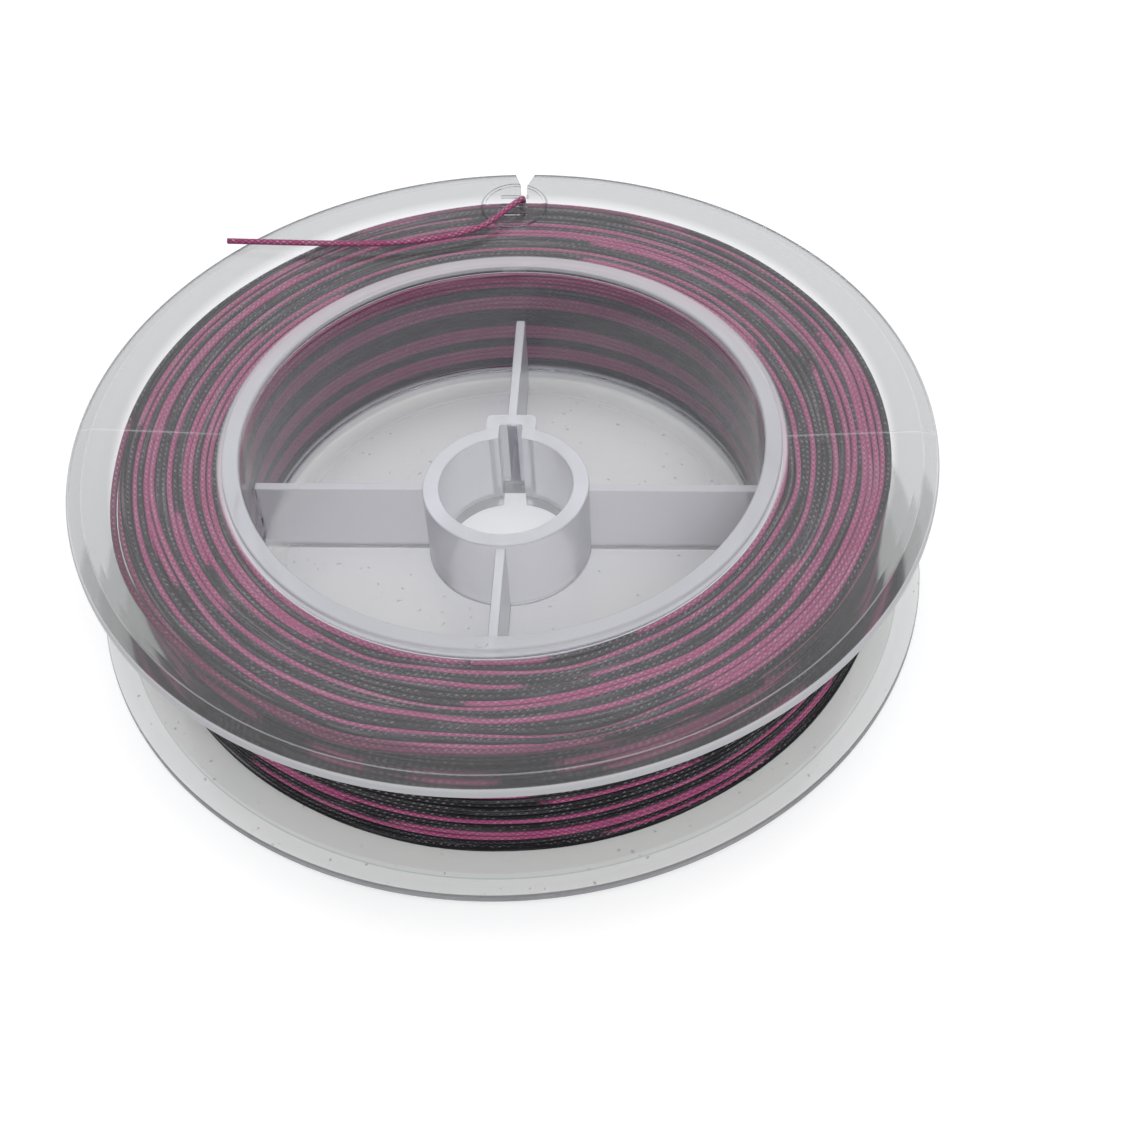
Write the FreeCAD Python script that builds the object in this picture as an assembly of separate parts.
import FreeCAD, Part
import math
import os

# Clear plastic spool with a length of fishing line wound on it.
# Millimetres. +Z runs up the spool's axis and the origin is the centre of its underside.
# +Y points to the notch in the upper flange's rim, and +X is on the right seen from the front.

# Flanges
spoolHeight = 21.1  # from the lower flange's land to the upper flange's land
flangeRadius = 50.0
flangeWall = 1.5  # where the flange meets the drum
rimThickness = 1.2
rimRounding = 0.3
landInset = 1.9  # the flat land's outer edge lies this far inside the rim
landWidth = 0.8
dishDepth = 0.8  # the outer face sinks this much from the land to the drum
bevelDrop = 0.3  # and falls this much from the land to the rim

# Drum, floor, hub and ribs
drumOuterRadius = 32.4
drumWall = 2.0
collarProud = 0.5  # both ends of the drum stand this much out of the flanges
drumRounding = 0.3
gateRadius = 0.7  # round gate mark on the collar, over the front rib
gateProud = 0.15
floorThickness = 1.2
hubBoreRadius = 8.0
hubWall = 2.0
hubHeight = 10.7  # above the floor
hubRounding = 0.25
keywayWidth = 2.9
keywayDepth = 2.0  # from the bore's wall
keywayWall = 1.6
bossRounding = 0.8
ribThickness = 1.2
ribDrop = 0.5  # from the hub's top down to the ribs' tops

# Notch and slit that hold the line's end, and the round mark over the slit's end
notchMouth = 2.7
notchDepth = 3.2
notchRounding = 0.4
slitReach = 1.0  # the slit runs this far inside the line that comes up through it
slitClearance = 0.05  # beside the line
markRadius = 4.3
markMargin = 0.1  # between the mark and the land
markOffset = -1.1  # along X from the slit
markProud = 0.15
markStroke = 0.45
markBars = 3
markBarLength = 3.6
markBarPitch = 1.7

# Line
lineDiameter = 0.75
windingRadius = 44.7  # over the outer turns
turnPitch = 1.2
seatGap = 0.05  # between the line and the plastic, and between the turns and the core
turnSeat = 0.2  # under the first outer turn

# The line's free end leaves the last turn straight, goes up through the slit and lies on the flange
exitRun = 2.05
exitDrop = 1.15  # the corner under the slit, below the flange's inner face
tailRoute = [  # from the corner under the slit
    (0.0, 0.0, 2.69),
    (0.0, -1.05, 3.53),
    (-1.1, -2.7, 3.3),
    (-2.9, -5.1, 3.09),
    (-5.6, -7.0, 2.91),
    (-10.4, -8.3, 2.85),
    (-18.1, -9.1, 2.96),
    (-28.3, -9.2, 3.27),
    (-38.2, -8.7, 3.47),
]
tailArcShare = 0.45  # of the shorter run beside a corner

cutSpare = 1.0  # cutters run this far past what they cut

# Places that follow from the sizes above
landOuterRadius = flangeRadius - landInset
landInnerRadius = landOuterRadius - landWidth
rimTop = spoolHeight - bevelDrop
midHeight = spoolHeight / 2
faceAtDrum = spoolHeight - dishDepth
collarTop = faceAtDrum + collarProud
collarFoot = spoolHeight - collarTop
drumInnerRadius = drumOuterRadius - drumWall
drumMiddleRadius = (drumOuterRadius + drumInnerRadius) / 2
floorTop = collarFoot + floorThickness
hubTop = floorTop + hubHeight
ribTop = hubTop - ribDrop
hubOuterRadius = hubBoreRadius + hubWall
keywayReach = hubBoreRadius + keywayDepth
bossHalfWidth = keywayWidth / 2 + keywayWall
bossReach = keywayReach + hubWall
lineRadius = lineDiameter / 2
turnRadius = windingRadius - lineRadius
coreRadius = turnRadius - lineRadius - seatGap
exitRadius = math.hypot(turnRadius, exitRun + lineDiameter)
slitHalf = lineRadius + slitClearance
slitEnd = exitRadius - slitReach

up = FreeCAD.Vector(0, 0, 1)
origin = FreeCAD.Vector(0, 0, 0)


def vec(x, y, z):
    return FreeCAD.Vector(x, y, z)


def innerFaceHeight(radius):
    """Height of the upper flange's inner face."""
    low = faceAtDrum - flangeWall
    share = (radius - drumOuterRadius) / (flangeRadius - drumOuterRadius)
    return low + (rimTop - rimThickness - low) * share


def turned(points):
    """A solid of revolution about the spool's axis, from (radius, height) points."""
    corners = [vec(radius, 0, height) for radius, height in points]
    outline = Part.makePolygon(corners + corners[:1])
    return Part.Face(outline).revolve(origin, up, 360)


def cylinder(radius, low, high, x=0, y=0):
    return Part.makeCylinder(radius, high - low, vec(x, y, low))


def slab(halfWidth, near, far, low, high):
    """A block from near to far along +Y, centred on X."""
    return Part.makeBox(2 * halfWidth, far - near, high - low, vec(-halfWidth, near, low))


def ringEdges(solid, radius, height):
    """The full circles of a solid at one radius and height."""
    found = []
    for edge in solid.Edges:
        box = edge.BoundBox
        level = abs(box.ZMin - height) < 1e-4 and abs(box.ZMax - height) < 1e-4
        if level and abs(box.XMax - radius) < 1e-3 and abs(box.XMin + radius) < 1e-3:
            found.append(edge)
    return found


def plainFlange():
    """The upper flange before the notch is cut."""
    profile = [
        (drumOuterRadius, innerFaceHeight(drumOuterRadius)),
        (flangeRadius, rimTop - rimThickness),
        (flangeRadius, rimTop),
        (landOuterRadius, spoolHeight),
        (landInnerRadius, spoolHeight),
        (drumOuterRadius, faceAtDrum),
    ]
    solid = turned(profile)
    corners = ringEdges(solid, flangeRadius, rimTop)
    corners += ringEdges(solid, flangeRadius, rimTop - rimThickness)
    return solid.makeFillet(rimRounding, corners)


def notchCutter():
    """The rim's V with rounded lips, and the slit that leads in from it."""
    root = vec(slitHalf, flangeRadius - notchDepth, 0)
    flank = vec(notchMouth / 2 - slitHalf, notchDepth, 0).normalize()
    outside = vec(flank.y, -flank.x, 0)
    # each lip's arc touches the V's flank and the rim
    foot = root + outside * notchRounding
    lipReach = flangeRadius - notchRounding
    along = foot.dot(flank)
    centre = foot + flank * (math.sqrt(along**2 - foot.dot(foot) + lipReach**2) - along)
    radial = vec(centre.x, centre.y, 0).normalize()
    touch = centre - outside * notchRounding
    crest = centre + radial * notchRounding
    middle = centre + (radial - outside).normalize() * notchRounding
    beyond = crest + radial * cutSpare

    def left(point):
        return vec(-point.x, point.y, 0)

    slitCorner = vec(slitHalf, slitEnd + slitHalf, 0)
    edges = [
        Part.LineSegment(root, touch).toShape(),
        Part.Arc(touch, middle, crest).toShape(),
        Part.LineSegment(crest, beyond).toShape(),
        Part.LineSegment(beyond, left(beyond)).toShape(),
        Part.LineSegment(left(beyond), left(crest)).toShape(),
        Part.Arc(left(crest), left(middle), left(touch)).toShape(),
        Part.LineSegment(left(touch), left(root)).toShape(),
        Part.LineSegment(left(root), left(slitCorner)).toShape(),
        Part.Arc(left(slitCorner), vec(0, slitEnd, 0), slitCorner).toShape(),
        Part.LineSegment(slitCorner, root).toShape(),
    ]
    face = Part.Face(Part.Wire(edges))
    face.translate(vec(0, 0, midHeight))
    return face.extrude(vec(0, 0, spoolHeight + markProud + cutSpare - midHeight))


def upperFlange():
    return plainFlange().cut(notchCutter())


def lowerFlange():
    return plainFlange().mirror(vec(0, 0, midHeight), up)


def drumTube():
    wall = cylinder(drumOuterRadius, collarFoot, collarTop)
    wall = wall.cut(cylinder(drumInnerRadius, collarFoot, collarTop))
    lips = ringEdges(wall, drumOuterRadius, collarTop)
    lips += ringEdges(wall, drumInnerRadius, collarTop)
    wall = wall.makeFillet(drumRounding, lips)
    gate = cylinder(gateRadius, midHeight, collarTop + gateProud, y=-drumMiddleRadius)
    return wall.fuse(gate).removeSplitter()


def hubOutline(low, high):
    """The hub's outside, with the boss that carries the keyway."""
    boss = slab(bossHalfWidth, 0, bossReach, low, high)
    upright = []
    for edge in boss.Edges:
        box = edge.BoundBox
        if box.ZLength > box.XLength + box.YLength and box.YMin > bossReach / 2:
            upright.append(edge)
    boss = boss.makeFillet(bossRounding, upright)
    return cylinder(hubOuterRadius, low, high).fuse(boss).removeSplitter()


def hubSleeve():
    sleeve = hubOutline(collarFoot, hubTop)
    sleeve = sleeve.cut(cylinder(hubBoreRadius, collarFoot, hubTop))
    sleeve = sleeve.cut(slab(keywayWidth / 2, 0, keywayReach, collarFoot, hubTop))
    top = [edge for edge in sleeve.Edges if edge.BoundBox.ZMin > hubTop - hubRounding]
    return sleeve.makeFillet(hubRounding, top)


def floorWeb():
    disc = cylinder(drumInnerRadius, collarFoot, floorTop)
    return disc.cut(hubOutline(collarFoot, floorTop))


def rib(turn):
    """One of the four walls between hub and drum, turned about the axis from +Y."""
    wall = slab(ribThickness / 2, 0, drumOuterRadius, floorTop, ribTop)
    wall.rotate(origin, up, turn)
    return wall.common(cylinder(drumInnerRadius, floorTop, ribTop)).cut(hubOutline(floorTop, ribTop))


def mouldedMark():
    """A plain raised ring with short bars in it, on the flange's dished face."""
    centreY = landInnerRadius - markMargin - markRadius
    high = spoolHeight + markProud
    ring = cylinder(markRadius, midHeight, high, markOffset, centreY)
    shapes = [ring.cut(cylinder(markRadius - markStroke, midHeight, high, markOffset, centreY))]
    for i in range(markBars):
        near = centreY - markStroke / 2 + (i - (markBars - 1) / 2) * markBarPitch
        bar = slab(markBarLength / 2, near, near + markStroke, midHeight, high)
        bar.translate(vec(markOffset, 0, 0))
        shapes.append(bar)
    profile = [
        (drumOuterRadius, faceAtDrum),
        (landInnerRadius, spoolHeight),
        (landOuterRadius, spoolHeight),
        (landOuterRadius, high),
        (landInnerRadius, high),
        (drumOuterRadius, faceAtDrum + markProud),
    ]
    skin = turned(profile).cut(notchCutter())
    return Part.makeCompound([solid for shape in shapes for solid in shape.common(skin).Solids])


def windingCore():
    """The inner layers of line as one plain ring between the flanges."""
    inner = drumOuterRadius + seatGap
    highInner = innerFaceHeight(inner) - seatGap
    highOuter = innerFaceHeight(coreRadius) - seatGap
    profile = [
        (inner, spoolHeight - highInner),
        (coreRadius, spoolHeight - highOuter),
        (coreRadius, highOuter),
        (inner, highInner),
    ]
    return turned(profile)


def arcBetween(start, towards, end):
    """The arc from start to end whose tangents meet at towards."""
    middle = (start + end) * 0.5
    half = (end - start).Length / 2
    lean = math.atan2((towards - middle).Length, half)
    rise = (towards - middle).normalize() * (half * math.tan(lean / 2))
    return Part.Arc(start, middle + rise, end).toShape()


def biarc(start, startWay, end, endWay):
    """Two arcs that leave start along startWay and reach end along endWay."""
    across = end - start
    bend = 2 * (1 - startWay.dot(endWay))
    reach = across.dot(startWay + endWay)
    handle = (math.sqrt(reach**2 + bend * across.dot(across)) - reach) / bend
    first = start + startWay * handle
    second = end - endWay * handle
    joint = (first + second) * 0.5
    return [arcBetween(start, first, joint), arcBetween(joint, second, end)]


def sweep(edges, start, way):
    """The round line along a path."""
    section = Part.Wire([Part.Circle(start, way, lineRadius).toShape()])
    return Part.Wire(edges).makePipeShell([section], True, False)


firstTurnHeight = spoolHeight - innerFaceHeight(windingRadius) + turnSeat + lineRadius
cornerHeight = innerFaceHeight(exitRadius) - exitDrop
turnLoops = math.floor((cornerHeight - firstTurnHeight) / turnPitch)
turnClimb = (cornerHeight - firstTurnHeight) / turnLoops
lastTurnAngle = math.pi / 2 - math.acos(turnRadius / exitRadius)


def turnPlace(loops):
    """The place and the way of the outer turns after some loops."""
    angle = lastTurnAngle + 2 * math.pi * (loops - turnLoops)
    place = vec(
        turnRadius * math.cos(angle), turnRadius * math.sin(angle), firstTurnHeight + turnClimb * loops
    )
    slope = turnClimb / (2 * math.pi * turnRadius)
    return place, vec(-math.sin(angle), math.cos(angle), slope).normalize()


def windingTurns():
    """The outer layer: one unbroken line from the lower flange up to the slit."""
    place, way = turnPlace(0)
    start = place - way * lineDiameter
    startWay = way
    edges = [Part.LineSegment(start, place).toShape()]
    for quarter in range(1, 4 * turnLoops + 1):
        nextPlace, nextWay = turnPlace(quarter / 4)
        edges += biarc(place, way, nextPlace, nextWay)
        place, way = nextPlace, nextWay
    edges.append(Part.LineSegment(place, place + way * lineDiameter).toShape())
    print("outer turns: %d loops, climb %.3f mm, least gap %.3f mm" % (turnLoops, turnClimb, leastGap(edges)))
    return sweep(edges, start, startWay)


def leastGap(edges, samples=12):
    """The smallest space between one turn and the next, on points along the path."""
    points = []
    run = 0.0
    for edge in edges:
        for k in range(samples):
            at = edge.FirstParameter + (edge.LastParameter - edge.FirstParameter) * k / samples
            points.append((run + edge.Length * k / samples, edge.valueAt(at)))
        run += edge.Length
    halfTurn = math.pi * turnRadius
    twoTurns = 2 * 2 * 4 * samples
    least = math.inf
    for i, (before, point) in enumerate(points):
        for after, other in points[i + 1 : i + twoTurns]:
            if after - before > halfTurn:
                least = min(least, (other - point).Length)
    return least - lineDiameter


def tailPoints():
    """The free end's points, from the last turn's end to the tip."""
    place, way = turnPlace(turnLoops)
    corner = place + way * (lineDiameter + exitRun)
    return [place + way * lineDiameter, corner] + [corner + vec(*step) for step in tailRoute]


def lineTail():
    """The free end: straight runs joined by tangent arcs."""
    points = tailPoints()
    edges = []
    radii = []
    here = points[0]
    for before, corner, after in zip(points, points[1:], points[2:]):
        inWay = (corner - before).normalize()
        outWay = (after - corner).normalize()
        setback = tailArcShare * min((corner - before).Length, (after - corner).Length)
        radii.append(setback / math.tan(inWay.getAngle(outWay) / 2))
        arcStart = corner - inWay * setback
        arcEnd = corner + outWay * setback
        edges.append(Part.LineSegment(here, arcStart).toShape())
        edges.append(arcBetween(arcStart, corner, arcEnd))
        here = arcEnd
    edges.append(Part.LineSegment(here, points[-1]).toShape())
    solid = sweep(edges, points[0], (points[1] - points[0]).normalize())
    length = sum(edge.Length for edge in edges)
    expected = math.pi * lineRadius**2 * length
    for point in points:
        print("tail point %8.3f %8.3f %8.3f" % (point.x, point.y, point.z))
    print("tail radii, mm:", ", ".join("%.2f" % radius for radius in radii))
    print("tail length %.2f mm, volume %.3f of %.3f mm3" % (length, solid.Volume, expected))
    return solid


parts = {
    "lower_flange": lowerFlange(),
    "upper_flange": upperFlange(),
    "drum_tube": drumTube(),
    "floor_web": floorWeb(),
    "hub_sleeve": hubSleeve(),
    "rib_rear": rib(0),
    "rib_left": rib(90),
    "rib_front": rib(180),
    "rib_right": rib(270),
    "moulded_mark": mouldedMark(),
    "winding_core": windingCore(),
    "winding_turns": windingTurns(),
    "line_tail": lineTail(),
}

os.makedirs("parts", exist_ok=True)
for name, shape in parts.items():
    print("%-14s %d solids, valid %s, %.2f mm3" % (name, len(shape.Solids), shape.isValid(), shape.Volume))
    shape.exportStep("parts/" + name + ".step")
